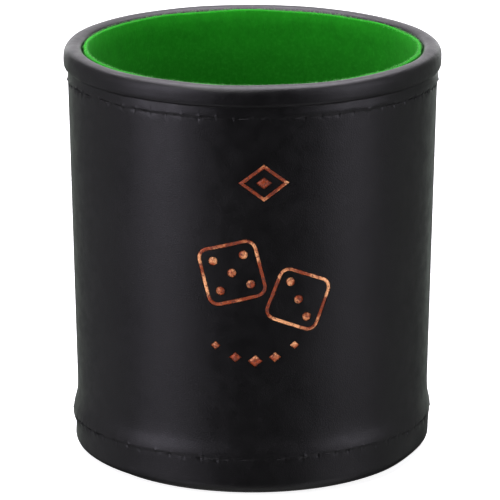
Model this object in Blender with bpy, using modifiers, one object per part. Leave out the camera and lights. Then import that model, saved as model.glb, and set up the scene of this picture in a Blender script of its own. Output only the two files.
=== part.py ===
"""A leather dice cup: a rigid board tube dressed in black leather, with a corded rim,
two rows of stitching, a green flannel lining and a separate leather base cover.

Everything is turned about the Z axis. The origin is the middle of the base, the front is -Y
and the leather's butt joint is at the back, +Y. Lengths are in metres.
"""

import math

import bpy
from mathutils import Matrix

MM = 0.001

# Driving sizes of the cup.
HEIGHT = 99.0 * MM
WALL_RADIUS_LOW = 42.33 * MM  # outside of the leather at WALL_LOW
WALL_LOW = 18.0 * MM
WALL_SLOPE = 0.0197  # radius gained for each unit of height
SEGMENTS = 60

# Sheet thicknesses, and the glue line between two sheets.
LEATHER = 0.8 * MM
FLANNEL = 0.8 * MM
GLUE = 0.2 * MM

# The corded rim. Its section is an ellipse.
ROLL_RADIUS = 42.42 * MM
ROLL_HALF_WIDTH = 2.3 * MM
ROLL_HALF_HEIGHT = 2.6 * MM
ROLL_Z = HEIGHT - ROLL_HALF_HEIGHT
CREASE_Z = 94.2 * MM
TURN_IN_END = 84.0 * MM  # the rolled leather ends this high, inside the mouth

# How far each surface of the wall lies inside the outer face of the leather.
TURN_IN_FACE = 3.3 * MM
CORE_OUTER = LEATHER + GLUE
CORE_INNER = 3.4 * MM
CORE_REBATE = TURN_IN_FACE - LEATHER - GLUE
LINING_OUTER = CORE_INNER + GLUE
LINING_INNER = LINING_OUTER + FLANNEL

# The two rows of lockstitch.
TOP_STITCH_Z = 91.0 * MM
BOTTOM_STITCH_Z = 9.3 * MM
STITCH_PITCH = 4.05 * MM
THREAD_RADIUS = 0.175 * MM
THREAD_CLEARANCE = 0.1 * MM
STITCH_RISE = 0.12 * MM
VALLEY_DEPTH = 0.05 * MM

# The hem round the bottom.
HEM_RADIUS = 42.6 * MM
HEM_ROW_RADIUS = 42.72 * MM  # at the bottom row of stitches
HEM_BULGE_RADIUS = 42.98 * MM
HEM_BULGE_Z = 10.3 * MM
HEM_CORNER = 3.5 * MM
HEM_BAND_THICKNESS = 0.3 * MM
TURN_UNDER_END = 36.5 * MM

# The base, from the table upwards.
BASE_COVER_RADIUS = 39.0 * MM
HEM_UNDERSIDE = LEATHER + GLUE
CORE_BOTTOM = HEM_UNDERSIDE + LEATHER + GLUE
FLOOR_BOARD = 2.0 * MM
FLOOR_CARD = 1.0 * MM
FLOOR_CARD_Z = CORE_BOTTOM + FLOOR_BOARD + GLUE
FLOOR_FLANNEL_Z = FLOOR_CARD_Z + FLOOR_CARD + GLUE

CORE_TOP = 93.4 * MM
LINING_TOP = 98.3 * MM
LINING_LEAN = 0.4 * MM  # how far the rim presses the top of the lining inward
LEAN_FROM = 92.4 * MM
LEAN_TO = 96.0 * MM
JOINT_GAP = 0.3 * MM  # between the butted edges of a wrapped sheet


def wall(z, inset=0.0):
    """Radius of the tapered wall at height z, this far inside the leather's outer face."""
    return WALL_RADIUS_LOW + (z - WALL_LOW) * WALL_SLOPE - inset


def arc(centre, half_width, half_height, start, end, steps):
    """Points (radius, height) along an ellipse, from one angle in degrees to another."""
    points = []
    for i in range(steps + 1):
        angle = math.radians(start + (end - start) * i / steps)
        radius = centre[0] + half_width * math.cos(angle)
        points.append((radius, centre[1] + half_height * math.sin(angle)))
    return points


def clear_scene():
    for obj in list(bpy.data.objects):
        bpy.data.objects.remove(obj, do_unlink=True)


def make_collection(name):
    collection = bpy.data.collections.new(name)
    bpy.context.scene.collection.children.link(collection)
    return collection


def make_material(name, colour, roughness, metallic=0.0):
    material = bpy.data.materials.new(name)
    material.use_nodes = True
    shader = material.node_tree.nodes["Principled BSDF"]
    shader.inputs["Base Color"].default_value = (*colour, 1.0)
    shader.inputs["Roughness"].default_value = roughness
    shader.inputs["Metallic"].default_value = metallic
    material.diffuse_color = (*colour, 1.0)
    return material


def turned(name, profile, material, collection, closed=False, thickness=0.0):
    """A profile of (radius, height) points turned about Z, and made a sheet if thickness is given."""
    mesh = bpy.data.meshes.new(name)
    count = len(profile)
    edges = [(i, i + 1) for i in range(count - 1)]
    if closed:
        edges.append((count - 1, 0))
    mesh.from_pydata([(radius, 0.0, z) for radius, z in profile], edges, [])
    mesh.materials.append(material)
    obj = bpy.data.objects.new(name, mesh)
    collection.objects.link(obj)
    screw = obj.modifiers.new("Turn", "SCREW")
    screw.axis = "Z"
    screw.angle = math.tau
    screw.steps = SEGMENTS
    screw.render_steps = SEGMENTS
    screw.use_merge_vertices = True
    screw.merge_threshold = 0.01 * MM
    screw.use_smooth_shade = True
    if thickness:
        solidify = obj.modifiers.new("Sheet", "SOLIDIFY")
        solidify.thickness = thickness
        solidify.offset = -1.0
        solidify.use_even_offset = True
    return obj


def disc(name, radius, bottom, thickness, edge, material, collection):
    """A round sheet lying flat, with its rim eased by edge where that isn't 0."""
    top = bottom + thickness
    rim = [(radius, top), (radius, bottom)]
    if edge:
        rim = [
            (radius - edge, top),
            (radius, top - edge),
            (radius, bottom + edge),
            (radius - edge, bottom),
        ]
    return turned(name, [(0.0, top), *rim, (0.0, bottom)], material, collection)


def joint_cutter(name, angle, collection):
    """A thin upright plate that opens the butt joint of a wrapped sheet, at this angle about Z."""
    bpy.ops.mesh.primitive_cube_add(size=1.0)
    cutter = bpy.context.active_object
    cutter.name = name
    reach = 2.0 * ROLL_RADIUS
    cutter.data.transform(Matrix.Diagonal((reach, JOINT_GAP, 2.0 * HEIGHT, 1.0)))
    cutter.rotation_euler.z = angle
    cutter.location = (0.8 * reach * math.cos(angle), 0.8 * reach * math.sin(angle), 0.5 * HEIGHT)
    cutter.hide_render = True
    cutter.display_type = "WIRE"
    for owner in list(cutter.users_collection):
        owner.objects.unlink(cutter)
    collection.objects.link(cutter)
    return cutter


def open_joint(obj, cutter):
    boolean = obj.modifiers.new("Butt joint", "BOOLEAN")
    boolean.operation = "DIFFERENCE"
    boolean.solver = "EXACT"
    boolean.object = cutter


def thread_ring(name, radius, z, rise, material, collection):
    """A thread that runs right round at height z and humps by rise on each stitch."""
    stitches = round(math.tau * radius / STITCH_PITCH)
    steps = 2 if rise else 1
    curve = bpy.data.curves.new(name, "CURVE")
    curve.dimensions = "3D"
    curve.bevel_depth = THREAD_RADIUS
    curve.bevel_resolution = 0
    curve.materials.append(material)
    spline = curve.splines.new("POLY")
    spline.points.add(stitches * steps - 1)
    spline.use_cyclic_u = True
    for i in range(stitches * steps):
        angle = math.tau * i / (stitches * steps)
        r = radius + (rise if i % steps else 0.0)
        spline.points[i].co = (r * math.cos(angle), r * math.sin(angle), z, 1.0)
    obj = bpy.data.objects.new(name, curve)
    collection.objects.link(obj)
    return obj


def leather_profile():
    """The shown face of the wall leather: up inside the mouth, over the rim, down and under."""
    roll = arc((ROLL_RADIUS, ROLL_Z), ROLL_HALF_WIDTH, ROLL_HALF_HEIGHT, 180.0, -55.0, 9)
    band_proud = 0.12 * MM
    pucker = 1.1 * MM
    corner_centre = (HEM_RADIUS - HEM_CORNER, HEM_UNDERSIDE + HEM_CORNER)
    return [
        (wall(TURN_IN_END, TURN_IN_FACE), TURN_IN_END),
        (wall(CREASE_Z, TURN_IN_FACE), CREASE_Z),
        *roll,
        (wall(CREASE_Z) - 0.20 * MM, CREASE_Z - 0.25 * MM),
        (wall(TOP_STITCH_Z) + band_proud, TOP_STITCH_Z + pucker),
        (wall(TOP_STITCH_Z) - VALLEY_DEPTH, TOP_STITCH_Z),
        (wall(TOP_STITCH_Z) + 0.5 * band_proud, TOP_STITCH_Z - pucker),
        (wall(TOP_STITCH_Z - 3 * pucker), TOP_STITCH_Z - 3 * pucker),
        (WALL_RADIUS_LOW, WALL_LOW),
        (HEM_BULGE_RADIUS - 0.54 * MM, HEM_BULGE_Z + 3.0 * MM),
        (HEM_BULGE_RADIUS - 0.22 * MM, HEM_BULGE_Z + 1.3 * MM),
        (HEM_BULGE_RADIUS, HEM_BULGE_Z),
        (HEM_ROW_RADIUS - VALLEY_DEPTH, BOTTOM_STITCH_Z),
        (HEM_ROW_RADIUS, BOTTOM_STITCH_Z - pucker),
        (HEM_RADIUS, BOTTOM_STITCH_Z - 2.4 * pucker),
        *arc(corner_centre, HEM_CORNER, HEM_CORNER, 0.0, -90.0, 4),
        (TURN_UNDER_END, HEM_UNDERSIDE),
    ]


def core_profile():
    """The tube's section: its inner plies stop short of the mouth, to house the turned-in leather."""
    ease = 0.35 * MM
    shoulder = TURN_IN_END - 1.5 * GLUE
    chamfer = 1.5 * MM
    return [
        (wall(CORE_TOP, CORE_OUTER + ease), CORE_TOP),
        (wall(CORE_TOP - ease, CORE_OUTER), CORE_TOP - ease),
        (wall(CORE_BOTTOM + chamfer, CORE_OUTER), CORE_BOTTOM + chamfer),
        (wall(CORE_BOTTOM, CORE_OUTER + chamfer), CORE_BOTTOM),
        (wall(CORE_BOTTOM, CORE_INNER), CORE_BOTTOM),
        (wall(shoulder, CORE_INNER), shoulder),
        (wall(shoulder, CORE_REBATE), shoulder),
        (wall(CORE_TOP, CORE_REBATE), CORE_TOP),
    ]


def hem_band_profile():
    inset = CORE_OUTER - GLUE
    top = BOTTOM_STITCH_Z + 1.0 * MM
    bottom = HEM_UNDERSIDE + HEM_CORNER
    return [
        (wall(top, inset) + HEM_BAND_THICKNESS, top),
        (wall(bottom, inset) + HEM_BAND_THICKNESS, bottom),
        (wall(bottom, inset), bottom),
        (wall(top, inset), top),
    ]


def bobbin_radius(z, face_inset):
    """Middle of a bobbin thread that lies against the face this far inside the leather."""
    return wall(z, face_inset + THREAD_CLEARANCE + THREAD_RADIUS)


def lining_profile():
    """The flannel's section. It is pressed thin where a bobbin thread runs behind it."""
    ease = 0.25 * MM
    half_groove = 0.5 * MM

    def groove(z, face_inset):
        floor = bobbin_radius(z, face_inset) - THREAD_RADIUS - THREAD_CLEARANCE
        return [
            (wall(z + 2 * half_groove, LINING_OUTER), z + 2 * half_groove),
            (floor, z + half_groove),
            (floor, z - half_groove),
            (wall(z - 2 * half_groove, LINING_OUTER), z - 2 * half_groove),
        ]

    return [
        (wall(LINING_TOP, LINING_OUTER + LINING_LEAN + ease), LINING_TOP),
        (wall(LINING_TOP - ease, LINING_OUTER + LINING_LEAN), LINING_TOP - ease),
        (wall(LEAN_TO, LINING_OUTER + LINING_LEAN), LEAN_TO),
        (wall(LEAN_FROM, LINING_OUTER), LEAN_FROM),
        *groove(TOP_STITCH_Z, TURN_IN_FACE),
        *groove(BOTTOM_STITCH_Z, CORE_INNER),
        (wall(FLOOR_CARD_Z, LINING_OUTER), FLOOR_CARD_Z),
        (wall(FLOOR_CARD_Z, LINING_INNER), FLOOR_CARD_Z),
        (wall(LEAN_FROM, LINING_INNER), LEAN_FROM),
        (wall(LEAN_TO, LINING_INNER + LINING_LEAN), LEAN_TO),
        (wall(LINING_TOP - ease, LINING_INNER + LINING_LEAN), LINING_TOP - ease),
        (wall(LINING_TOP, LINING_INNER + LINING_LEAN - ease), LINING_TOP),
    ]


def rim_cord_profile():
    inset = LEATHER + GLUE
    section = arc(
        (ROLL_RADIUS, ROLL_Z), ROLL_HALF_WIDTH - inset, ROLL_HALF_HEIGHT - inset, 90.0, -270.0, 10
    )
    return section[:-1]


def build():
    clear_scene()
    cup = make_collection("leather_dice_cup")
    cutters = make_collection("cutters")

    leather = make_material("black_leather", (0.012, 0.012, 0.014), 0.42)
    flannel = make_material("green_flannel", (0.008, 0.12, 0.008), 0.95)
    thread = make_material("black_thread", (0.010, 0.010, 0.011), 0.6)
    board = make_material("grey_board", (0.24, 0.22, 0.19), 0.9)
    cord = make_material("foam_cord", (0.05, 0.05, 0.05), 0.85)

    leather_joint = joint_cutter("leather_joint_cutter", math.radians(90.0), cutters)
    lining_joint = joint_cutter("lining_joint_cutter", math.radians(-90.0), cutters)

    # The rigid body of the cup.
    turned("core_tube", core_profile(), board, cup, closed=True)
    floor_radius = wall(CORE_BOTTOM, CORE_INNER + GLUE)
    disc("core_floor", floor_radius, CORE_BOTTOM, FLOOR_BOARD, 0.0, board, cup)
    turned("rim_cord", rim_cord_profile(), cord, cup, closed=True)
    turned("hem_band", hem_band_profile(), board, cup, closed=True)

    # The leather, with the card that levels the base inside its turned-under edge.
    wall_leather = turned("wall_leather", leather_profile(), leather, cup, thickness=LEATHER)
    open_joint(wall_leather, leather_joint)
    card_radius = TURN_UNDER_END - 1.5 * GLUE
    disc("base_levelling_card", card_radius, HEM_UNDERSIDE, LEATHER, 0.0, board, cup)
    disc("base_cover", BASE_COVER_RADIUS, 0.0, LEATHER, 0.25 * MM, leather, cup)

    # The lining.
    lining_wall = turned("lining_wall", lining_profile(), flannel, cup, closed=True)
    open_joint(lining_wall, lining_joint)
    inner_radius = wall(FLOOR_CARD_Z, LINING_INNER + GLUE)
    disc("lining_floor_card", inner_radius, FLOOR_CARD_Z, FLOOR_CARD, 0.0, board, cup)
    disc("lining_floor", inner_radius, FLOOR_FLANNEL_Z, FLANNEL, 0.25 * MM, flannel, cup)

    # The stitching: a needle thread outside and a bobbin thread inside, for each row.
    standoff = THREAD_CLEARANCE + THREAD_RADIUS - VALLEY_DEPTH
    top_radius = wall(TOP_STITCH_Z) + standoff
    thread_ring("top_needle_thread", top_radius, TOP_STITCH_Z, STITCH_RISE, thread, cup)
    hem_radius = HEM_ROW_RADIUS + standoff
    thread_ring("bottom_needle_thread", hem_radius, BOTTOM_STITCH_Z, STITCH_RISE, thread, cup)
    top_bobbin = bobbin_radius(TOP_STITCH_Z, TURN_IN_FACE)
    thread_ring("top_bobbin_thread", top_bobbin, TOP_STITCH_Z, 0.0, thread, cup)
    bottom_bobbin = bobbin_radius(BOTTOM_STITCH_Z, CORE_INNER)
    thread_ring("bottom_bobbin_thread", bottom_bobbin, BOTTOM_STITCH_Z, 0.0, thread, cup)


build()
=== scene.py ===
"""The looks of a leather dice cup: puckered and stitched black leather over a corded rim,
a green flannel lining with a brushed nap, a glued base and a debossed copper-foil stamp.

Lengths are in metres. The cup stands on z = 0, its axis is Z and its front faces -Y. The
leather's butt joint is at the back, and the lining's is inside the front wall.
"""

import math

import bmesh
import bpy
import numpy as np
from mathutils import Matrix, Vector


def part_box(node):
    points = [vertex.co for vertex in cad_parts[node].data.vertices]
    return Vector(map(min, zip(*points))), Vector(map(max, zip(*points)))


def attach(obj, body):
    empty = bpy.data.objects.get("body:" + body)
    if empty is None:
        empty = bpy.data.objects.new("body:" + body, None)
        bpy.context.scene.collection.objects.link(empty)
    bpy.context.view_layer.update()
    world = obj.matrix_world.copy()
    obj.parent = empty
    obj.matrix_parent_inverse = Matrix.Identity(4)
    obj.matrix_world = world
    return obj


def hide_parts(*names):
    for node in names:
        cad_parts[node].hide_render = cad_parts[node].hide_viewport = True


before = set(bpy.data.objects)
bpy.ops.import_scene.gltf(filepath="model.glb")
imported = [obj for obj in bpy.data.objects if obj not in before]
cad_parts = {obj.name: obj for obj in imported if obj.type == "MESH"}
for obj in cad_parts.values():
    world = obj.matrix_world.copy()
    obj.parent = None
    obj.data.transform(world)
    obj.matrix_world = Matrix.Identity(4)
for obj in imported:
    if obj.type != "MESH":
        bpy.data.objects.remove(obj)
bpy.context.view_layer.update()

MM = 0.001

# Sizes of the cup. They are the CAD model's, apart from the crease, the stitching and the hem's
# curve, which are drawn closer to the real cup here, and the butt joint, which is pressed shut.
HEIGHT = 99.0 * MM
WALL_RADIUS_LOW = 42.33 * MM  # outside of the leather at WALL_LOW
WALL_LOW = 18.0 * MM
WALL_SLOPE = 0.0197  # radius gained for each unit of height
LEATHER = 0.8 * MM
TURN_IN_FACE = 3.3 * MM  # how far inside the wall's outer face the turned-in leather shows
LINING_OUTER = 3.6 * MM  # how far inside it the lining's two faces are
LINING_INNER = 4.4 * MM
LINING_TOP = 98.3 * MM
LINING_LEAN = 0.4 * MM  # how far the rim presses the top of the lining inward
LINING_BOTTOM = 4.2 * MM
ROLL_RADIUS = 42.42 * MM
ROLL_HALF_WIDTH = 2.3 * MM
ROLL_HALF_HEIGHT = 2.6 * MM
ROLL_Z = HEIGHT - ROLL_HALF_HEIGHT
CREASE_Z = 93.85 * MM
TOP_ROW_Z = 91.1 * MM
BOTTOM_ROW_Z = 9.35 * MM
HEM_RADIUS = 42.6 * MM
HEM_ROW_RADIUS = 42.84 * MM  # at the bottom row of stitches
HEM_UNDERSIDE = 1.0 * MM
HEM_CORNER = 2.7 * MM
TURN_UNDER_END = 36.5 * MM  # the leather ends at this radius under the base
BASE_COVER_RADIUS = 39.0 * MM
JOINT_GAP = 0.004 * MM
FRONT = -0.5 * math.pi
BACK = 0.5 * math.pi
LEFT = math.pi
RIGHT = 0.0

# The stitching: holes round each row, and points round the cup between two holes, closest
# together beside a hole, where the leather bends most.
HOLES = 67
PHASES = (0.0, 0.05, 0.11, 0.22, 0.4, 0.6, 0.78, 0.89, 0.95)
THREAD_RADIUS = 0.16 * MM
THREAD_SUNK = 0.75 * MM  # depth of the thread's middle at a hole
TIGHT_TURN = math.radians(66.0)  # the thread pulls tightest this far round from the front


def wall(z, inset=0.0):
    """Radius of the tapered wall at height z, this far inside the leather's outer face."""
    return WALL_RADIUS_LOW + (z - WALL_LOW) * WALL_SLOPE - inset


# ---------------------------------------------------------------- shapes


def arc(centre, half_width, half_height, start, end, steps, power=1.0):
    """Points (radius, height) along an ellipse, from one angle in degrees to another. A power
    under 1 makes it squarer."""
    points = []
    for i in range(steps + 1):
        angle = math.radians(start + (end - start) * i / steps)
        x, y = (math.copysign(abs(v) ** power, v) for v in (math.cos(angle), math.sin(angle)))
        points.append((centre[0] + half_width * x, centre[1] + half_height * y))
    return points


def waves(seed, size, turns, rise, count=9):
    """A smooth random function of angle and height that closes round the cup. Its crests are
    about size high, with turns[0] to turns[1] of them round the cup, and rise or more apart."""
    rng = np.random.default_rng(seed)
    around = rng.integers(turns[0], turns[1] + 1, count)
    upward = rng.uniform(-1.0, 1.0, count) * math.tau / rise
    shift = rng.uniform(0.0, math.tau, count)
    weight = rng.uniform(0.5, 1.0, count) * size / math.sqrt(count)

    def value(angle, z):
        total = 0.0
        for k in range(count):
            total = total + weight[k] * np.sin(around[k] * angle + upward[k] * z + shift[k])
        return total

    return value


def bump(x, width):
    """A smooth hill, 1 high at x = 0, that has mostly gone at 1.5 widths."""
    return np.exp(-np.square(x / width))


def unit(vectors):
    """The same vectors, each with a length of 1."""
    return vectors / np.linalg.norm(vectors, axis=1)[:, None]


def lengths_along(points):
    """How far along a line of points each one lies."""
    return np.concatenate([[0.0], np.cumsum(np.linalg.norm(np.diff(points, axis=0), axis=1))])


def between(a, b, c, d, t):
    """A point at share t of the way from b to c, on the smooth curve through all four points."""
    bend = (2 * a - 5 * b + 4 * c - d) * t**2 + (3 * b - a - 3 * c + d) * t**3
    return 0.5 * (2 * b + (c - a) * t + bend)


def smooth_path(points, spacing):
    """A curve through (radius, height) points, with a point about every spacing(radius, height)."""
    p = np.array(points)
    p = np.vstack([2 * p[0] - p[1], p, 2 * p[-1] - p[-2]])
    fine = []
    for i in range(1, len(p) - 2):
        fine += [between(*p[i - 1 : i + 3], t) for t in np.linspace(0.0, 1.0, 24, endpoint=False)]
    fine.append(p[-2])
    fine = np.array(fine)
    along = lengths_along(fine)
    wanted = [0.0]
    while wanted[-1] < along[-1]:
        radius = np.interp(wanted[-1], along, fine[:, 0])
        height = np.interp(wanted[-1], along, fine[:, 1])
        wanted.append(wanted[-1] + spacing(radius, height))
    wanted = np.array(wanted) * along[-1] / wanted[-1]
    return np.stack([np.interp(wanted, along, fine[:, k]) for k in (0, 1)], axis=1)


def path_normals(path):
    """Unit normals to the left of travel, which is outward on a path that runs down the outside."""
    step = unit(np.gradient(path, axis=0))
    return np.stack([-step[:, 1], step[:, 0]], axis=1)


def around(radius, height, angle):
    """Points at these radii, heights and angles."""
    return np.stack([radius * np.cos(angle), radius * np.sin(angle), height], axis=-1)


def make_object(name, points, faces):
    mesh = bpy.data.meshes.new(name)
    mesh.from_pydata(np.asarray(points).reshape(-1, 3).tolist(), [], faces)
    mesh.validate()
    obj = bpy.data.objects.new(name, mesh)
    bpy.context.scene.collection.objects.link(obj)
    mesh.shade_smooth()
    return obj


def lofted(name, points):
    """A closed solid through rings of points[ring, place, xyz], with a flat cap at each end."""
    rings, places = points.shape[:2]
    faces = []
    for i in range(rings - 1):
        here, beyond = i * places, (i + 1) * places
        for j in range(places):
            after = (j + 1) % places
            faces.append((here + j, here + after, beyond + after, beyond + j))
    faces.append(tuple(range(places - 1, -1, -1)))
    faces.append(tuple((rings - 1) * places + j for j in range(places)))
    return make_object(name, points, faces)


def turned(name, profile, stations):
    """A closed solid turned about Z from a profile that starts and ends on the axis."""
    profile = np.array(profile)
    angles = np.linspace(0.0, math.tau, stations, endpoint=False)
    ring = profile[1:-1]
    points = around(ring[None, :, 0], np.repeat(ring[None, :, 1], stations, 0), angles[:, None])
    points = points.reshape(-1, 3).tolist()
    count = len(ring)
    top, bottom = len(points), len(points) + 1
    points += [(0.0, 0.0, profile[0][1]), (0.0, 0.0, profile[-1][1])]
    faces = []
    for i in range(stations):
        here, beyond = i * count, (i + 1) % stations * count
        faces.append((top, here, beyond))
        for j in range(count - 1):
            faces.append((here + j, here + j + 1, beyond + j + 1, beyond + j))
        faces.append((here + count - 1, bottom, beyond + count - 1))
    return make_object(name, points, faces)


# ---------------------------------------------------------------- stitching


def joint_angles(middle, radius):
    """The first and last angle of a sheet that wraps the cup and butts at the middle angle."""
    half = 0.5 * JOINT_GAP / radius
    return middle + half, middle + math.tau - half


def hole_angles():
    start, end = joint_angles(BACK, WALL_RADIUS_LOW)
    rng = np.random.default_rng(11)
    places = np.arange(HOLES) + 0.5 + rng.uniform(-0.05, 0.05, HOLES)
    return start + (end - start) * places / HOLES


HOLE_ANGLES = hole_angles()


def leather_stations():
    """Angles round the sleeve, from one edge of the butt joint to the other."""
    start, end = joint_angles(BACK, WALL_RADIUS_LOW)
    near_joint = np.array([0.0, 0.12, 0.3, 0.6, 1.0, 1.5]) * MM / WALL_RADIUS_LOW
    inner = []
    for a, b in zip(HOLE_ANGLES[:-1], HOLE_ANGLES[1:]):
        inner += [a + (b - a) * phase for phase in PHASES]
    return np.array([*(start + near_joint), *inner, HOLE_ANGLES[-1], *(end - near_joint[::-1])])


def turn_from(angle, middle):
    """How far an angle is from a middle one, the short way round."""
    return (angle - middle + math.pi) % math.tau - math.pi


class StitchRow:
    """One row of lockstitch, and the dimples and puffs that it pulls in the leather.

    In relief(), d runs along the row from the nearest hole and v runs up from the row.
    """

    WANDER = 0.16 * MM  # how far the row strays from its height in long waves
    STEP = 0.20 * MM  # how far one hole strays
    GROOVE = 0.22 * MM  # depth of the groove under a stitch
    DIMPLE = 0.28 * MM  # depth of a needle hole's dimple
    BEAD = 0.20 * MM  # height of the lip pushed up over a hole
    FOLD = 0.045 * MM  # depth of a crease that runs off from a hole

    def __init__(self, z, seed, rise, sag_left, sag_right, puff):
        rng = np.random.default_rng(seed)
        self.z = z
        self.rise, self.sag_left, self.sag_right = rise, sag_left, sag_right
        self.drift = waves(seed + 1, self.WANDER, turns=(2, 7), rise=1.0)
        self.pull = rng.uniform(0.3, 1.2, HOLES)
        self.sunk = rng.uniform(0.2, 1.2, HOLES) ** 1.5
        self.snag = rng.uniform(0.0, math.tau, HOLES)
        self.above = puff * rng.uniform(0.3, 1.5, HOLES)
        self.bead = 1.5 * rng.uniform(0.0, 1.0, HOLES) ** 2
        self.crease = np.where(rng.uniform(0.0, 1.0, HOLES) < 0.3, 1.0, 0.15)
        self.lean = rng.uniform(-0.6, 0.6, HOLES)
        self.step = rng.uniform(-self.STEP, self.STEP, HOLES)

    def line(self, angle):
        """Height of the row, which wanders and runs lower at the two sides."""
        left, right = bump(turn_from(angle, LEFT), 0.32), bump(turn_from(angle, RIGHT), 0.32)
        height = self.z + self.rise * np.cos(angle) + self.drift(angle, 0.0)
        height = height + np.interp(angle, HOLE_ANGLES, self.step)
        return height - self.sag_left * left - self.sag_right * right

    def relief(self, angle, z, radius):
        """How far the leather moves out, where z is the height on a row that runs level."""
        v = z - self.z
        stitch = np.clip(np.searchsorted(HOLE_ANGLES, angle) - 1, 0, HOLES - 2)
        before, after = HOLE_ANGLES[stitch], HOLE_ANGLES[stitch + 1]
        phase = np.clip((angle - before) / (after - before), 0.0, 1.0)
        near = np.where(phase < 0.5, stitch, stitch + 1)
        d = (angle - HOLE_ANGLES[near]) * radius
        hump = np.sin(math.pi * phase) ** 0.8
        tight = bump(turn_from(angle, FRONT - TIGHT_TURN), 0.38)
        tight = tight + bump(turn_from(angle, FRONT + TIGHT_TURN), 0.38)
        below = 0.6 * bump(v, 0.30 * MM) + 0.4 * bump(v, 1.1 * MM)
        section = np.where(v > 0.0, bump(v, (0.25 + 0.14 * tight) * MM), below)
        snags = 0.45 + 0.25 * tight + 0.75 * np.cos(math.tau * 1.2 * phase + self.snag[stitch])
        snags = np.clip(snags, 0.0, 1.0) * (1.0 + 0.5 * tight)
        groove = -self.GROOVE * self.sunk[stitch] * (0.1 + 0.9 * hump) * snags * section
        # Each needle hole is a dimple, and the leather between two stitches puffs up beside it.
        holes = bump(d + 0.32 * MM, 0.36 * MM) + 0.4 * bump(d - 0.50 * MM, 0.24 * MM)
        pit = np.where(v > 0.0, bump(v, (0.30 + 0.14 * tight) * MM), bump(v, 0.56 * MM))
        dimple = -self.DIMPLE * self.pull[near] * holes * pit
        lip = bump(d - 0.12 * MM, 0.42 * MM) * bump(v - 0.46 * MM, 0.34 * MM)
        bead = self.BEAD * self.bead[near] * lip
        slant = bump(d - self.lean[near] * v, 0.3 * MM) * bump(np.abs(v) - 0.8 * MM, 0.6 * MM)
        fold = -self.FOLD * self.crease[near] * slant
        puffs = self.above[stitch] * hump * bump(v - 0.60 * MM, 0.36 * MM)
        flat_front = 1.0 - 0.5 * bump(turn_from(angle, FRONT), 0.28)
        return (groove + dimple + fold + bead + puffs) * flat_front * (1.0 + 0.45 * tight)


TOP_ROW = StitchRow(
    TOP_ROW_Z, seed=21, rise=0.12 * MM, sag_left=0.6 * MM, sag_right=1.2 * MM, puff=0.05 * MM
)
BOTTOM_ROW = StitchRow(
    BOTTOM_ROW_Z, seed=31, rise=0.22 * MM, sag_left=1.5 * MM, sag_right=0.3 * MM, puff=0.03 * MM
)
WALL_WAVES = waves(seed=41, size=0.05 * MM, turns=(2, 8), rise=0.06)
ROLL_WAVES = waves(seed=43, size=0.06 * MM, turns=(3, 14), rise=0.02)
HEM_WAVES = waves(seed=47, size=0.08 * MM, turns=(3, 12), rise=1.0)


# ---------------------------------------------------------------- leather


def leather_path():
    """The sleeve's shown face: up inside the mouth, over the cord, down the wall and under."""
    size = (ROLL_RADIUS, ROLL_Z), ROLL_HALF_WIDTH, ROLL_HALF_HEIGHT
    roll = arc(*size, 180.0, 90.0, 9, 0.9) + arc(*size, 80.0, 8.0, 9, 0.8)
    # These are in millimetres: (radius, height), and (height, how far the band stands out).
    under_roll = [(44.72, 95.9), (44.71, 95.4), (44.69, 94.95), (44.64, 94.6), (44.55, 94.32)]
    under_roll += [(44.38, 94.1), (44.14, 93.97), (43.88, 93.86)]
    band = [(93.7, -0.22), (93.35, -0.12), (92.8, -0.02), (92.2, 0.04), (91.2, 0.04), (89.8, 0.02)]
    band += [(height, 0.0) for height in (88.0, 80.0, 60.0, 40.0, 24.0)]
    hem = [(42.32, 17.6), (42.32, 16.0), (42.35, 14.6), (42.44, 13.3), (42.64, 12.1)]
    hem += [(42.84, 11.0), (42.90, 10.3), (42.89, 9.8), (42.85, 9.3), (42.80, 8.7)]
    hem += [(42.74, 7.6), (42.68, 6.2), (42.63, 5.0), (42.60, 4.2)]
    bend = HEM_RADIUS - HEM_CORNER, HEM_UNDERSIDE + HEM_CORNER
    points = [(wall(z * MM, TURN_IN_FACE), z * MM) for z in (84.0, 90.0, 94.0)]
    points += roll
    points += [(radius * MM, z * MM) for radius, z in under_roll]
    points += [(wall(z * MM, -out * MM), z * MM) for z, out in band]
    points += [(radius * MM, z * MM) for radius, z in hem]
    points += arc(bend, HEM_CORNER, HEM_CORNER, 0.0, -90.0, 8)
    points.append((TURN_UNDER_END, HEM_UNDERSIDE))
    return smooth_path(points, leather_spacing)


def leather_spacing(radius, height):
    """Distance between points down the sleeve, closest where the stitches pull the leather."""
    to_row = min(abs(height - row) for row in (TOP_ROW_Z, BOTTOM_ROW_Z))
    if radius < TURN_UNDER_END + 3 * MM and height < HEM_CORNER:
        return 1.2 * MM  # flat, under the base
    if radius < wall(height, 2.6 * MM) and height < CREASE_Z:
        return 2.0 * MM  # flat, inside the mouth
    if to_row < 0.8 * MM:
        return 0.17 * MM
    if abs(height - CREASE_Z) < 0.6 * MM:
        return 0.2 * MM
    if height > CREASE_Z:
        return 0.45 * MM  # the roll
    if height > TOP_ROW_Z - 2.6 * MM:
        return 0.34 * MM  # the band, and the wall just below it
    if height > 17.0 * MM:
        return 3.0 * MM  # the plain wall
    return 0.45 * MM  # the hem


def hem_swell(angle, z):
    """How far the hem stands out of round: full on the left, and pressed in front on the right."""
    left = bump(turn_from(angle, math.radians(190.0)), 0.50)
    right = bump(turn_from(angle, math.radians(-24.0)), 0.26)
    bulge = (0.44 * MM * left + 0.10 * MM * np.cos(angle) ** 2) * bump(z - 10.0 * MM, 2.2 * MM)
    below = np.clip((9.0 * MM - z) / (4 * MM), 0.0, 1.0)
    corner = bump(z - 1.6 * MM, 2.0 * MM)
    return bulge + below * (0.12 * MM * left) + corner * (0.35 * MM * left - 0.75 * MM * right)


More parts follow.
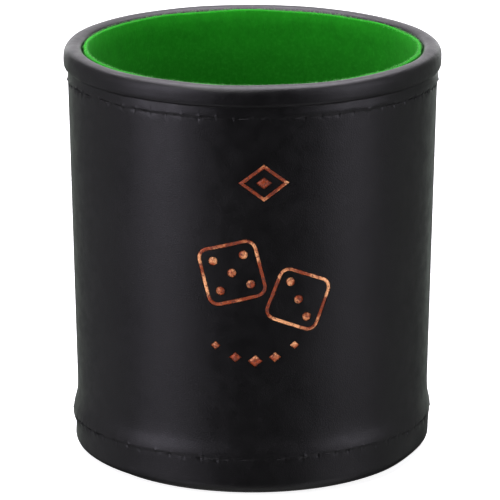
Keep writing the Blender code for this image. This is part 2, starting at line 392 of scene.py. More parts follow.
def rim_sag(angle):
    """How far the rim's top lies below its full height, in front and behind on the right."""
    front = bump(turn_from(angle, FRONT), 1.0)
    behind = bump(turn_from(angle, math.radians(38.0)), 0.5)
    return 0.42 * MM * front + 0.22 * MM * behind


def pushed_out(angle, radius, z, outside):
    """How far each point at one station round the cup moves along its normal."""
    on_roll = np.clip((z - CREASE_Z) / (0.6 * MM), 0.0, 1.0)
    on_wall = (1.0 - on_roll) * outside
    move = on_wall * WALL_WAVES(angle, z) * np.clip((z - HEM_CORNER) / (4 * MM), 0.0, 1.0)
    move = move + on_roll * ROLL_WAVES(angle, z * 3.0)
    move = move + on_wall * bump(z - 10.6 * MM, 2.0 * MM) * HEM_WAVES(angle, 0.0)
    move = move + outside * TOP_ROW.relief(angle, z, radius) * (1.0 - on_roll)
    move = move + outside * BOTTOM_ROW.relief(angle, z, radius)
    # The band between the crease and the stitches is puffed, most on the right.
    puffed = 0.08 * MM + 0.12 * MM * math.cos(angle)
    move = move + on_wall * puffed * bump(z - 92.3 * MM, 0.75 * MM)
    # The sheet's edges are pared and pressed down where they butt.
    start, end = joint_angles(BACK, WALL_RADIUS_LOW)
    from_joint = min(angle - start, end - angle) * WALL_RADIUS_LOW
    return move - (0.02 * MM + 0.10 * MM * on_wall) * bump(from_joint, 0.45 * MM)


def leather_relief(angle, path, normals):
    """Points of the path at one station round the cup, once the leather has moved."""
    radius, z = path[:, 0], path[:, 1]
    shown = radius > wall(z, 2.0 * MM)
    outside = np.clip(normals[:, 0] * 4.0, 0.0, 1.0) * shown
    moved = path + normals * pushed_out(angle, radius, z, outside)[:, None]
    # The crease is stuffed nearly full in front and on the left.
    stuffed = bump(turn_from(angle, FRONT), 0.34)
    stuffed = stuffed + 0.9 * bump(turn_from(angle, math.radians(-167.0)), 0.40)
    hollow = np.clip(wall(z) + 0.08 * MM - moved[:, 0], 0.0, 0.6 * MM)
    hollow = hollow * bump(z - 93.6 * MM, 0.7 * MM)
    moved[:, 0] += stuffed * hollow * shown
    # The hem is out of round.
    free = np.clip((radius - TURN_UNDER_END - 0.5 * MM) / (3 * MM), 0.0, 1.0)
    moved[:, 0] += hem_swell(angle, z) * free * (radius > wall(z, 7.0 * MM))
    # The rim isn't quite level, the rows wander, and the hem sags in front on the right.
    moved[:, 1] -= rim_sag(angle) * np.clip((z - CREASE_Z) / (3 * MM), 0.0, 1.0)
    for row in (TOP_ROW, BOTTOM_ROW):
        moved[:, 1] += (row.line(angle) - row.z) * bump(z - row.z, 2.2 * MM) * shown
    sagging = 0.2 * MM * bump(turn_from(angle, math.radians(-58.0)), 0.55)
    moved[:, 1] -= sagging * bump(z - HEM_UNDERSIDE, 2.0 * MM) * (radius > wall(z, 2.4 * MM))
    return moved


def leather_sleeve():
    """The whole sleeve as a closed sheet. Its glued face needs only each sixth point."""
    path = leather_path()
    normals = path_normals(path)
    inner = slice(None, None, -6)
    loop_count = len(path) + len(path[inner])
    stations = leather_stations()
    points = np.zeros((len(stations), loop_count, 3))
    for i, angle in enumerate(stations):
        shown = leather_relief(angle, path, normals)
        section = np.vstack([shown, (shown - LEATHER * normals)[inner]])
        points[i] = around(section[:, 0], section[:, 1], angle)
    return lofted("leather_sleeve", points)


def wall_surface(angle, z):
    """Radius of the finished leather on the plain part of the wall."""
    return wall(z) + WALL_WAVES(angle, z)


# ---------------------------------------------------------------- the stamp

# The stamp is two tumbling dice, with a lozenge above and five small ones below. Its places are
# (across, height) on the front of the wall, in millimetres.
STAMP_ACROSS = 2.6
LOZENGE_HEIGHT = 76.0
LEFT_DIE = ((-7.4 + STAMP_ACROSS, 54.6), 13.4, 14.0)  # centre, side and turn in degrees
RIGHT_DIE = ((8.1 + STAMP_ACROSS, 48.0), 12.4, -21.0)
PIP_RADIUS = 1.05
LINE_STEP, FILL_STEP = 0.45, 0.5  # distances between an outline's points
LINE_HALF_WIDTH = 0.42 * MM
STAMP_DEPTH = 0.16 * MM
FOIL = 0.03 * MM  # its thickness at an edge
FOIL_CROWN = 0.12 * MM  # how much higher it is in the middle of a line
FOIL_BACK = -STAMP_DEPTH + 0.01 * MM


def turned_about(centre, turn, points):
    """Points round (0, 0) turned by this many degrees and moved to a centre."""
    c, s = math.cos(math.radians(turn)), math.sin(math.radians(turn))
    return [(centre[0] + x * c - y * s, centre[1] + x * s + y * c) for x, y in points]


def rounded_square(centre, side, turn, corner=2.2):
    """A closed line round a die face."""
    outline = []
    reach = 0.5 * side - corner
    for quarter in range(4):
        for step in range(7):
            angle = math.radians(90.0 * quarter + 15.0 * step)
            cx = reach if quarter in (0, 3) else -reach
            cy = reach if quarter in (0, 1) else -reach
            outline.append((cx + corner * math.cos(angle), cy + corner * math.sin(angle)))
    return turned_about(centre, turn, outline)


def pip_places(centre, side, turn, pips):
    """The middles of a die face's three or five pips."""
    reach = 0.27 * side
    places = [(-reach, reach), (reach, -reach), (0.0, 0.0), (reach, reach), (-reach, -reach)]
    return turned_about(centre, turn, places[:pips])


def lozenge(centre, half_width, half_height):
    x, y = centre
    return [(x + half_width, y), (x, y + half_height), (x - half_width, y), (x, y - half_height)]


def disc_outline(centre, radius, count=22):
    turns = [math.tau * i / count for i in range(count)]
    return [(centre[0] + radius * math.cos(t), centre[1] + radius * math.sin(t)) for t in turns]


def divided(outline, step):
    """The same closed outline with a point at least every step."""
    points = []
    for (x0, y0), (x1, y1) in zip(outline, outline[1:] + outline[:1]):
        parts = max(1, math.ceil(math.hypot(x1 - x0, y1 - y0) / step))
        points += [(x0 + (x1 - x0) * k / parts, y0 + (y1 - y0) * k / parts) for k in range(parts)]
    return points


def on_wall(x, y, out):
    """A point this far across and up the front, and this far out of the leather."""
    angle = FRONT + x / wall(y)
    radius = wall_surface(angle, y) + out
    return (radius * math.cos(angle), radius * math.sin(angle), y)


def stamp_parts():
    """The stamp's closed lines and its filled outlines."""
    over = STAMP_ACROSS, LOZENGE_HEIGHT
    lines = [rounded_square(*LEFT_DIE), rounded_square(*RIGHT_DIE), lozenge(over, 5.2, 3.9)]
    pips = pip_places(*LEFT_DIE, 5) + pip_places(*RIGHT_DIE, 3)
    filled = [disc_outline(place, PIP_RADIUS) for place in pips]
    filled.append(lozenge(over, 1.9, 1.4))
    for k in (-2, -1, 0, 1, 2):
        size = 1.0 - 0.16 * abs(k)
        place = (STAMP_ACROSS - 2.0 + 4.6 * k, 33.4 + 0.9 * k * k)
        filled.append(lozenge(place, 1.7 * size, 1.5 * size))
    return lines, filled


def to_the_right(vectors):
    return np.stack([vectors[:, 1], -vectors[:, 0]], axis=1)


def line_solid(line, spread, low, high, crown):
    """The points and faces of a closed line, with a section of six points across it."""
    outline = np.array(divided(line, LINE_STEP)) * MM
    ahead, behind = np.roll(outline, -1, axis=0), np.roll(outline, 1, axis=0)
    arriving, leaving = unit(outline - behind), unit(ahead - outline)
    out = unit(to_the_right(arriving + leaving))
    mitre = 1.0 / np.clip((out * to_the_right(arriving)).sum(1), 0.5, 1.0)
    half = (LINE_HALF_WIDTH + spread) * mitre[:, None]
    shares = (1.0, 0.55, -0.55, -1.0, -1.0, 1.0)
    heights = (high, high + crown, high + crown, high, low, low)
    points, faces = [], []
    for share, height in zip(shares, heights):
        points += [on_wall(x, y, height) for x, y in outline + out * half * share]
    count = len(outline)
    for k in range(len(shares)):
        here, beyond = k * count, (k + 1) % len(shares) * count
        for i in range(count):
            j = (i + 1) % count
            faces.append((here + i, here + j, beyond + j, beyond + i))
    return points, faces


def filled_solid(shape, spread, low, high, crown):
    """The points and faces of a filled shape, raised to a point by its crown."""
    centre = np.mean(shape, axis=0)
    grown = []
    for x, y in divided(shape, FILL_STEP):
        away = np.array([x, y]) - centre
        grown.append(tuple((centre + away * (1 + spread / MM / np.linalg.norm(away))) * MM))
    points = [on_wall(x, y, high) for x, y in grown]
    points += [on_wall(x, y, low) for x, y in grown]
    points += [on_wall(*(centre * MM), high + 1.6 * crown), on_wall(*(centre * MM), low)]
    count = len(grown)
    faces = []
    for i in range(count):
        j = (i + 1) % count
        faces.append((i, count + i, count + j, j))
        faces.append((2 * count, i, j))
        faces.append((2 * count + 1, count + j, count + i))
    return points, faces


def stamp_solid(name, spread, low, high, crown=0.0):
    """The stamp's shapes as solids on the wall, each outline grown by spread. A crown swells the
    middle of each shape outward."""
    lines, filled = stamp_parts()
    solids = [line_solid(line, spread, low, high, crown) for line in lines]
    solids += [filled_solid(shape, spread, low, high, crown) for shape in filled]
    points, faces = [], []
    for more, sides in solids:
        base = len(points)
        points += more
        faces += [tuple(base + corner for corner in side) for side in sides]
    obj = make_object(name, points, faces)
    edit = bmesh.new()
    edit.from_mesh(obj.data)
    bmesh.ops.recalc_face_normals(edit, faces=edit.faces)
    edit.to_mesh(obj.data)
    edit.free()
    return obj


def deboss(sleeve):
    """Presses the stamp's shapes into the leather, which leaves crisp edges for the foil to fill."""
    cutter = stamp_solid("stamp_cutter", spread=0.05 * MM, low=-STAMP_DEPTH, high=0.5 * MM)
    press = sleeve.modifiers.new("Press", "BOOLEAN")
    press.operation = "DIFFERENCE"
    press.solver = "MANIFOLD"
    press.object = cutter
    graph = bpy.context.evaluated_depsgraph_get()
    pressed = bpy.data.meshes.new_from_object(sleeve.evaluated_get(graph))
    sleeve.modifiers.clear()
    sleeve.data = pressed
    bpy.data.objects.remove(cutter)
    pressed.shade_smooth()
    pressed.set_sharp_from_angle(angle=math.radians(62.0))


# ---------------------------------------------------------------- thread


def needle_thread(name, row, seed):
    """Three plies twisted together, humping over each stitch and diving into each hole."""
    sides, per_stitch = 12, 16
    rng = np.random.default_rng(seed)
    rise = 0.30 * MM + rng.uniform(0.14 * MM, 0.40 * MM, HOLES)
    twist = math.tau / (1.5 * MM)
    centres = []
    for k in range(HOLES - 1):
        for step in range(per_stitch):
            phase = step / per_stitch
            angle = HOLE_ANGLES[k] + (HOLE_ANGLES[k + 1] - HOLE_ANGLES[k]) * phase
            z = row.line(angle)
            hump = 1.0 - (2.0 * phase - 1.0) ** 2
            base = wall(z) + 0.10 * MM if z > WALL_LOW else HEM_ROW_RADIUS + hem_swell(angle, z)
            radius = base - THREAD_SUNK + rise[k] * hump
            centres.append(around(radius, z, angle))
    last = HOLE_ANGLES[-1]
    centres.append(around(base - THREAD_SUNK, row.line(last), last))
    centres = np.array(centres)
    along = unit(np.gradient(centres, axis=0))
    side = unit(np.cross(along, (0.0, 0.0, 1.0)))
    up = np.cross(side, along)
    travelled = lengths_along(centres)
    turn = np.linspace(0.0, math.tau, sides, endpoint=False)
    ply = 1.0 + 0.13 * np.cos(3 * (turn[None, :] - twist * travelled[:, None] / 3.0))
    ring = THREAD_RADIUS * ply[..., None] * (
        np.cos(turn)[None, :, None] * side[:, None] + np.sin(turn)[None, :, None] * up[:, None]
    )
    return lofted(name, centres[:, None] + ring[:, ::-1])


# ---------------------------------------------------------------- lining

LINING_RADIUS = 39.0 * MM  # near enough for distances round the lining
LINING_EDGE = 0.5 * (LINING_INNER - LINING_OUTER)  # half the flannel, and its top edge's radius
LINING_STATIONS = 480
NAP_FIBRES = 5200
NAP_INSIDE = 0.9  # share of the edge's roundness at which the fibres stand


def lining_lean(angle, z):
    """How far the rim presses the lining inward. At the back the lining rests against the cord."""
    rests = 0.9 * bump(turn_from(angle, BACK), 1.1) * np.clip((z / MM - 96.6) / 1.7, 0.0, 1.0)
    return LINING_LEAN * np.clip(z / MM - 91.0, 0.0, 5.0) / 5.0 * (1.0 - rests)


def lining_sleeve():
    """The flannel round the inside of the wall, soft along its cut top edge."""
    start, end = joint_angles(FRONT, LINING_RADIUS)
    stations = np.linspace(start, end, LINING_STATIONS)
    drift = waves(seed=61, size=0.10 * MM, turns=(3, 16), rise=1.0)
    face = waves(seed=67, size=0.09 * MM, turns=(3, 18), rise=0.03)
    middle = LINING_OUTER + LINING_EDGE
    top = arc((0.0, LINING_TOP - LINING_EDGE), LINING_EDGE, LINING_EDGE, 0.0, 180.0, 8)
    up_outside = [12.0, 30.0, 50.0, 70.0, 82.0, 90.0]
    down_inside = np.linspace(95.5 * MM, LINING_BOTTOM, 44)
    profile = [(wall(z * MM, LINING_OUTER), z * MM) for z in up_outside]
    profile += [(wall(z, middle) + r, z) for r, z in top]
    inner_from = len(profile) - 4
    profile += [(wall(z, LINING_INNER), z) for z in down_inside]
    profile.append((wall(LINING_BOTTOM, LINING_OUTER), LINING_BOTTOM))
    profile = np.array(profile)[::-1]
    points = np.zeros((len(stations), len(profile), 3))
    shown = np.arange(len(profile))[::-1] >= inner_from
    high = np.clip((profile[:, 1] - 90.0 * MM) / (7 * MM), 0.0, 1.0)
    for i, angle in enumerate(stations):
        from_joint = min(angle - start, end - angle) * LINING_RADIUS
        pressed = 0.25 * MM * bump(from_joint, 0.6 * MM)
        move = np.where(shown, face(angle, profile[:, 1]) + pressed, 0.0)
        radius = profile[:, 0] - np.maximum(move, -0.1 * MM) * (1.0 - 0.5 * high)
        radius = radius - lining_lean(angle, profile[:, 1])
        height = profile[:, 1] + (drift(angle, 0.0) - rim_sag(angle)) * high
        points[i] = around(radius, height, angle)
    return lofted("flannel_wall", points)


def nap(name, count, seed):
    """Fibres that stand off the cut top edge of the flannel. Each is a closed, bent spike."""
    rng = np.random.default_rng(seed)
    angle = rng.uniform(0.0, math.tau, count)
    tilt = rng.uniform(0.10 * math.pi, 0.95 * math.pi, count)
    radius = wall(LINING_TOP, LINING_OUTER + LINING_EDGE) - lining_lean(angle, LINING_TOP)
    radius = radius + LINING_EDGE * NAP_INSIDE * np.cos(tilt)
    height = LINING_TOP - LINING_EDGE + LINING_EDGE * NAP_INSIDE * np.sin(tilt) - rim_sag(angle)
    root = around(radius, height, angle)
    out = unit(around(np.cos(tilt), np.sin(tilt), angle) + rng.normal(0.0, 0.55, (count, 3)))
    bend = unit(out + rng.normal(0.0, 0.6, (count, 3)))
    length = rng.uniform(0.25, 0.75, count)[:, None] * MM
    middle = root + out * 0.5 * length
    tip = middle + bend * 0.5 * length
    side = unit(np.cross(out, (0.3, 0.2, 0.9)))
    other = np.cross(out, side)
    thick = rng.uniform(0.014, 0.024, count)[:, None] * MM
    points, faces = [], []
    for k in range(count):
        base = len(points)
        for centre, share in ((root[k], 1.0), (middle[k], 0.8)):
            for corner in range(3):
                turn = math.tau * corner / 3
                ray = side[k] * math.cos(turn) + other[k] * math.sin(turn)
                points.append(centre + ray * thick[k] * share)
        points.append(tip[k])
        faces.append((base, base + 2, base + 1))
        for a, b in ((0, 1), (1, 2), (2, 0)):
            faces.append((base + a, base + b, base + 3 + b, base + 3 + a))
            faces.append((base + 3 + a, base + 3 + b, base + 6))
    return make_object(name, points, faces)


def flannel_floor():
    """The flannel disc on the cup's floor, not quite flat."""
    low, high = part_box("lining_floor")
    radius, edge = high.x, 0.3 * MM
    rings = [(radius * k / 14.0, high.z) for k in range(14)]
    rings += arc((radius - edge, high.z - edge), edge, edge, 90.0, 0.0, 4)
    rings += [(radius, low.z), (0.0, low.z)]
    floor = turned("flannel_floor", rings, 180)
    soft = waves(seed=71, size=0.12 * MM, turns=(1, 6), rise=0.5)
    for vertex in floor.data.vertices:
        x, y, z = vertex.co
        r = math.hypot(x, y)
        if z > high.z - edge and r < radius - edge:
            vertex.co.z += float(soft(math.atan2(y, x), 40 * r)) * r / radius
    return floor


def base_disc():
    """The leather disc under the cup, with its cut edge eased by wear."""
    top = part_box("base_cover")[1].z
    radius = BASE_COVER_RADIUS
    profile = [(0.0, top), (radius * 0.5, top), (radius - 0.5 * MM, top)]
    profile += arc((radius - 0.3 * MM, 0.5 * top), 0.3 * MM, 0.5 * top, 80.0, -80.0, 10)
    profile += [(radius - 0.9 * MM, 0.0), (radius * 0.75, 0.0), (radius * 0.4, 0.0), (0.0, 0.0)]
    return turned("base_leather", profile, 288)


# ---------------------------------------------------------------- materials


class Nodes:
    """A short way to write a material's node tree."""

    def __init__(self, name):
        self.material = bpy.data.materials.new(name)
        self.material.use_nodes = True
        self.tree = self.material.node_tree
        self.shader = self.tree.nodes["Principled BSDF"]
        self.place = self.node("ShaderNodeTexCoord").outputs["Object"]

    def node(self, kind, inputs=None, **settings):
        made = self.tree.nodes.new(kind)
        for key, value in settings.items():
            setattr(made, key, value)
        for key, value in (inputs or {}).items():
            self.join(value, made.inputs[key])
        return made

    def join(self, value, socket):
        if isinstance(value, bpy.types.NodeSocket):
            self.tree.links.new(value, socket)
        else:
            socket.default_value = value

    def set(self, **values):
        for key, value in values.items():
            self.join(value, self.shader.inputs[key.replace("_", " ")])

    def noise(self, scale, detail=3.0, roughness=0.55, place=None):
        node = self.node(
            "ShaderNodeTexNoise",
            {"Vector": place or self.place, "Scale": scale, "Detail": detail, "Roughness": roughness},
        )
        return node.outputs["Fac"]

    def cells(self, scale, feature="F1", place=None):
        node = self.node("ShaderNodeTexVoronoi", {"Vector": place or self.place, "Scale": scale})
        node.feature = feature
        return node.outputs["Distance"]

    def stretch(self, factors):
        node = self.node("ShaderNodeMapping", {"Vector": self.place, "Scale": factors})
        return node.outputs["Vector"]

    def ramp(self, value, low, high, to_low=0.0, to_high=1.0):
        """Goes smoothly from to_low to to_high while the value goes from low to high."""
        node = self.node(
            "ShaderNodeMapRange",
            {"Value": value, "From Min": low, "From Max": high, "To Min": to_low, "To Max": to_high},
        )
        node.interpolation_type = "SMOOTHSTEP"
        return node.outputs["Result"]

    def blend(self, factor, first, second):
        node = self.node("ShaderNodeMix", data_type="RGBA")
        self.join(factor, node.inputs["Factor"])
        self.join((*first, 1.0) if isinstance(first, tuple) else first, node.inputs["A"])
        self.join((*second, 1.0) if isinstance(second, tuple) else second, node.inputs["B"])
        return node.outputs["Result"]

    def maths(self, operation, first, second):
        node = self.node("ShaderNodeMath", operation=operation)
        self.join(first, node.inputs[0])
        self.join(second, node.inputs[1])
        return node.outputs["Value"]

    def relief(self, height, distance, strength=1.0, after=None):
        """A normal bent by a height, on top of any relief that comes before it."""
        inputs = {"Height": height, "Distance": distance, "Strength": strength}
        if after is not None:
            inputs["Normal"] = after
        return self.node("ShaderNodeBump", inputs).outputs["Normal"]


def leather_material():
    """Black coated leather: a low pebble grain, pores and faint rubs in the gloss."""
    m = Nodes("black_leather")
    stray = m.node("ShaderNodeTexNoise", {"Vector": m.place, "Scale": 900.0}).outputs["Color"]
    warp = m.node("ShaderNodeVectorMath", {0: stray}, operation="SCALE")
    warp.inputs["Scale"].default_value = 0.35 * MM
    bent = m.node("ShaderNodeVectorMath", {0: m.place, 1: warp.outputs[0]}, operation="ADD")
    pebbles = m.cells(1900.0, "DISTANCE_TO_EDGE", bent.outputs[0])
    fine = m.cells(4200.0, "F1", bent.outputs[0])
    soft = m.noise(60.0, 3.0)
    rubs = m.noise(260.0, 4.0, 0.65)
    grain = m.relief(m.ramp(pebbles, 0.0, 0.22), 0.022 * MM, 0.55)
    grain = m.relief(fine, 0.010 * MM, 0.35, grain)
    grain = m.relief(soft, 0.30 * MM, 0.35, grain)
    shade = m.blend(m.ramp(soft, 0.35, 0.7), (0.0022, 0.0020, 0.0022), (0.0042, 0.0039, 0.0041))
    m.set(Base_Color=m.blend(m.ramp(pebbles, 0.0, 0.12), (0.002, 0.002, 0.002), shade))
    m.set(Roughness=m.ramp(rubs, 0.3, 0.7, 0.35, 0.47), Normal=grain)
    m.set(IOR=1.5, Coat_Weight=0.06, Coat_Roughness=0.28)
    return m.material


def cut_edge_material():
    """Leather's raw side and edge, as on the base disc: skived, dyed and a little dusty."""
    m = Nodes("base_leather")
    dust = m.noise(1500.0, 4.0, 0.7)
    streak = m.noise(900.0, 2.0, 0.5, m.stretch((1.0, 1.0, 4.0)))
    m.set(Base_Color=m.blend(m.ramp(dust, 0.35, 0.7), (0.020, 0.020, 0.019), (0.060, 0.058, 0.055)))
    m.set(Roughness=m.ramp(streak, 0.3, 0.7, 0.62, 0.85))
    m.set(Normal=m.relief(streak, 0.05 * MM, 0.6), IOR=1.45)
    return m.material


def flannel_material(name):
    """Soft napped green flannel. Painted light and shade: paler towards the mouth, darker lower down.
    """
    m = Nodes(name)
    cloudy = m.noise(320.0, 3.0, 0.5)
    tufts = m.noise(1200.0, 2.0, 0.5)
    fibres = m.noise(2600.0, 2.0, 0.5, m.stretch((1.0, 1.0, 0.3)))
    height = m.node("ShaderNodeSeparateXYZ", {"Vector": m.place}).outputs["Z"]
    # Painted light and shade: darker deep in the cup, paler at the mouth where light falls in.
    wear_and_painted_light = m.ramp(height, 82.0 * MM, 98.0 * MM)
    shade = m.blend(wear_and_painted_light, (0.0110, 0.232, 0.0078), (0.0180, 0.385, 0.0138))
    shade = m.blend(m.ramp(cloudy, 0.3, 0.7, 0.0, 0.22), shade, (0.006, 0.150, 0.004))
    shade = m.blend(m.ramp(tufts, 0.40, 0.90, 0.0, 0.28), shade, (0.045, 0.50, 0.034))
    m.set(Base_Color=m.blend(m.ramp(fibres, 0.25, 0.5, 0.18, 0.0), shade, (0.004, 0.12, 0.003)))
    m.set(Roughness=0.95, Specular_IOR_Level=0.15, Sheen_Weight=0.15, Sheen_Roughness=0.5)
    m.set(Sheen_Tint=(0.25, 1.0, 0.20, 1.0))
    bumps = m.relief(tufts, 0.08 * MM, 0.4)
    m.set(Normal=m.relief(fibres, 0.06 * MM, 0.4, bumps))
    return m.material


def nap_material():
    """Fibres along the flannel's cut edge, painted pale green as a painted highlight, with a sheen.
    """
    m = Nodes("flannel_nap")
    # Painted highlight: the fibres' pale green stands in for the light that they catch.
    m.set(Base_Color=m.blend(m.noise(700.0), (0.06, 0.50, 0.05), (0.28, 0.85, 0.22)))
    m.set(Roughness=0.9, Sheen_Weight=0.5, Sheen_Tint=(0.7, 1.0, 0.65, 1.0))
    return m.material


def thread_material(name="black_thread"):
    """Waxed polyester thread, with its fine filaments along the twist."""
    m = Nodes(name)
    filaments = m.noise(5200.0, 2.0, 0.5, m.stretch((1.0, 1.0, 1.8)))
    m.set(Base_Color=m.blend(filaments, (0.003, 0.003, 0.003), (0.012, 0.011, 0.012)))
    m.set(Roughness=m.ramp(filaments, 0.3, 0.7, 0.6, 0.8), Normal=m.relief(filaments, 0.03 * MM, 0.5))
    return m.material


def foil_material():
    """Copper foil pressed into the grain, thin and speckled where it didn't take."""
    m = Nodes("copper_foil")
    wear_and_painted_light = m.noise(1500.0, 4.0, 0.75)
    patches = m.noise(170.0, 3.0, 0.55)
    speckle = m.ramp(m.maths("ADD", wear_and_painted_light, m.maths("MULTIPLY", patches, 0.35)), 0.56, 0.74)
    copper = m.blend(m.ramp(patches, 0.45, 0.60), (0.36, 0.058, 0.014), (1.0, 0.47, 0.21))
    m.set(Base_Color=m.blend(speckle, (0.15, 0.032, 0.016), copper))
    m.set(Metallic=m.ramp(wear_and_painted_light, 0.3, 0.7, 0.15, 0.45))
    m.set(Roughness=m.ramp(wear_and_painted_light, 0.3, 0.7, 0.46, 0.30))
    m.set(Normal=m.relief(m.cells(1900.0), 0.04 * MM, 0.8))
    return m.material


def board_material():
    """Grey paperboard, with its fibres and flecks of recycled print."""
    m = Nodes("grey_board")
    pulp = m.noise(900.0, 5.0, 0.7)
    flecks = m.cells(800.0)
    shade = m.blend(m.ramp(pulp, 0.3, 0.7), (0.30, 0.27, 0.23), (0.46, 0.42, 0.36))
    m.set(Base_Color=m.blend(m.ramp(flecks, 0.05, 0.14), (0.10, 0.09, 0.09), shade))
    m.set(Roughness=0.9, Normal=m.relief(pulp, 0.06 * MM, 0.5))
    return m.material


def foam_material():
    """The soft black cord inside the rim, with its closed cells."""
    m = Nodes("foam_cord")
    cells = m.cells(2400.0, "SMOOTH_F1")
    m.set(Base_Color=m.blend(cells, (0.012, 0.012, 0.012), (0.035, 0.034, 0.033)))
    m.set(Roughness=m.ramp(cells, 0.0, 0.6, 0.8, 0.6), Normal=m.relief(cells, 0.1 * MM, 0.5))
    return m.material


# ---------------------------------------------------------------- the studio

TARGET_Z = 49.0 * MM  # the height that the panels face
CAMERA_PLACE = (-0.6 * MM, -894.3 * MM, 300.4 * MM)
CAMERA_TILT = math.radians(74.24)
CAMERA_LENS = 278.6
CAMERA_SENSOR = 36.0
ROOM_FILL = 0.025
FLOOR_RADIUS = 0.75
FLOOR_GLOW = 0.88

# Each panel's name, azimuth and elevation in degrees, distance, width and height, strength and
# colour.
PANELS = (
    ("left_soft", -56.0, 14.5, 0.9, (0.56, 0.95), 2.15, (1.0, 0.95, 1.12)),
    ("right_soft", 62.0, 14.5, 0.9, (0.48, 0.95), 1.65, (1.0, 0.96, 1.10)),
    ("left_table", -56.0, -45.0, 0.9, (0.60, 0.60), 0.56, (1.0, 0.96, 1.08)),
    ("right_table", 61.0, -45.0, 0.9, (0.50, 0.60), 0.54, (1.0, 0.97, 1.06)),
    ("left_side", -113.0, -2.0, 0.95, (0.90, 1.45), 0.225, (1.0, 1.0, 1.06)),
    ("right_side", 113.0, -2.0, 0.95, (0.90, 1.36), 0.17, (0.98, 1.02, 1.0)),
    ("left_edge", -158.0, -6.0, 1.1, (0.50, 0.70), 0.4, (0.93, 1.05, 0.93)),
    ("right_edge", 158.0, -3.6, 1.1, (0.50, 0.64), 0.5, (0.93, 1.05, 0.95)),
    ("left_rim", -163.0, 7.0, 1.1, (0.42, 0.36), 0.45, (1.0, 0.98, 1.02)),
    ("right_rim", 163.0, 7.0, 1.1, (0.42, 0.36), 0.45, (1.0, 0.98, 1.02)),
    ("back_low", 180.0, 12.0, 1.1, (1.10, 0.90), 1.25, (1.0, 0.98, 1.02)),
    ("overhead", 180.0, 75.0, 0.9, (1.10, 0.98), 4.8, (1.0, 0.95, 1.05)),
    ("front_high", -32.0, 58.0, 1.0, (0.50, 0.36), 3.4, (1.0, 1.0, 1.0)),
    ("floor_bounce", 0.0, -90.0, 0.6, (0.50, 0.50), 0.22, (1.0, 1.0, 1.0)),
)


def panel(name, azimuth, elevation, distance, size, strength, colour):
    """A soft panel of one even brightness that faces the cup. Azimuth 0 is the front."""
    data = bpy.data.lights.new(name, "AREA")
    data.shape = "RECTANGLE"
    data.size, data.size_y = size
    data.energy = strength * math.pi * size[0] * size[1]
    data.color = colour
    light = bpy.data.objects.new(name, data)
    bpy.context.scene.collection.objects.link(light)
    turn, lift = math.radians(azimuth), math.radians(elevation)
    light.location = (
        distance * math.sin(turn) * math.cos(lift),
        -distance * math.cos(turn) * math.cos(lift),
        TARGET_Z + distance * math.sin(lift),
    )
    light.rotation_euler = (0.5 * math.pi - lift, 0.0, turn)
    light.visible_camera = False


def white_room():
    """A world that is white to the camera and nearly dark to the cup."""
    world = bpy.data.worlds.new("white_room")
    world.use_nodes = True
    tree = world.node_tree
    tree.nodes.clear()
    out = tree.nodes.new("ShaderNodeOutputWorld")
    seen = tree.nodes.new("ShaderNodeBackground")
    lit = tree.nodes.new("ShaderNodeBackground")
    seen.inputs["Strength"].default_value = 1.0
    seen.inputs["Color"].default_value = (1.0, 1.0, 1.0, 1.0)
    lit.inputs["Strength"].default_value = ROOM_FILL
    ray = tree.nodes.new("ShaderNodeLightPath")
    mix = tree.nodes.new("ShaderNodeMixShader")
    tree.links.new(ray.outputs["Is Camera Ray"], mix.inputs[0])
    tree.links.new(lit.outputs[0], mix.inputs[1])
    tree.links.new(seen.outputs[0], mix.inputs[2])
    tree.links.new(mix.outputs[0], out.inputs[0])
    return world


def white_floor():
    """A floor that renders white and stays out of the cup's reflections."""
    bpy.ops.mesh.primitive_circle_add(vertices=96, radius=FLOOR_RADIUS, fill_type="NGON")
    floor = bpy.context.object
    floor.name = "floor"
    m = Nodes("white_floor")
    m.set(Base_Color=(0.8, 0.8, 0.8, 1.0), Roughness=1.0)
    m.set(Emission_Color=(1.0, 1.0, 1.0, 1.0), Emission_Strength=FLOOR_GLOW)
    floor.data.materials.append(m.material)
    floor.visible_glossy = False
    floor.visible_shadow = False


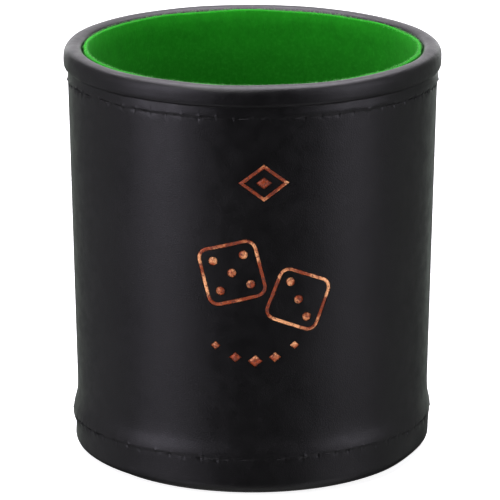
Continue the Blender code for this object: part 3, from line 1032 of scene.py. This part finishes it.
def studio():
    """The camera, the panels, the white room and its floor."""
    scene = bpy.context.scene
    scene.view_settings.view_transform = "Standard"
    camera = bpy.data.objects.new("camera", bpy.data.cameras.new("camera"))
    scene.collection.objects.link(camera)
    camera.location = CAMERA_PLACE
    camera.rotation_euler = (CAMERA_TILT, 0.0, 0.0)
    camera.data.lens = CAMERA_LENS
    camera.data.sensor_width = CAMERA_SENSOR
    camera.data.clip_start = 0.01
    scene.camera = camera
    for values in PANELS:
        panel(*values)
    scene.world = white_room()
    white_floor()


# ---------------------------------------------------------------- the cup


def add_piece(obj, material, slot, *nodes):
    """Gives a piece its material and its body, and hides the CAD nodes it stands for. Its slot is not
    used.
    """
    obj.data.materials.clear()
    obj.data.materials.append(material)
    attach(obj, "root")
    if nodes:
        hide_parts(*nodes)
    return obj


def dress(node, material):
    """Gives a carried-over CAD node its material."""
    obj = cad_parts[node]
    if not obj.material_slots:
        obj.data.materials.append(material)
    for place in obj.material_slots:
        place.material = material


leather = leather_material()
sleeve = leather_sleeve()
deboss(sleeve)
add_piece(sleeve, leather, "leather", "wall_leather")
foil = stamp_solid("stamp_foil", 0.0, low=FOIL_BACK, high=FOIL_BACK + FOIL, crown=FOIL_CROWN)
add_piece(foil, foil_material(), "foil")

thread = thread_material()
top_thread = needle_thread("top_row_thread", TOP_ROW, seed=81)
add_piece(top_thread, thread, "thread", "top_needle_thread")
bottom_thread = needle_thread("bottom_row_thread", BOTTOM_ROW, seed=83)
add_piece(bottom_thread, thread, "thread", "bottom_needle_thread")

cut_edge = cut_edge_material()
add_piece(base_disc(), cut_edge, "leather", "base_cover")

lining = add_piece(lining_sleeve(), flannel_material("green_flannel"), "flannel", "lining_wall")

carpet = add_piece(flannel_floor(), flannel_material("floor_flannel"), "flannel", "lining_floor")

add_piece(nap("lining_edge_nap", NAP_FIBRES, seed=91), nap_material(), "flannel")

board = board_material()
for hidden in ("core_tube", "core_floor", "base_levelling_card", "lining_floor_card"):
    dress(hidden, board)
dress("hem_band", cut_edge)
dress("rim_cord", foam_material())
bobbin_thread = thread_material("bobbin_thread")
for hidden in ("top_bobbin_thread", "bottom_bobbin_thread"):
    dress(hidden, bobbin_thread)

studio()
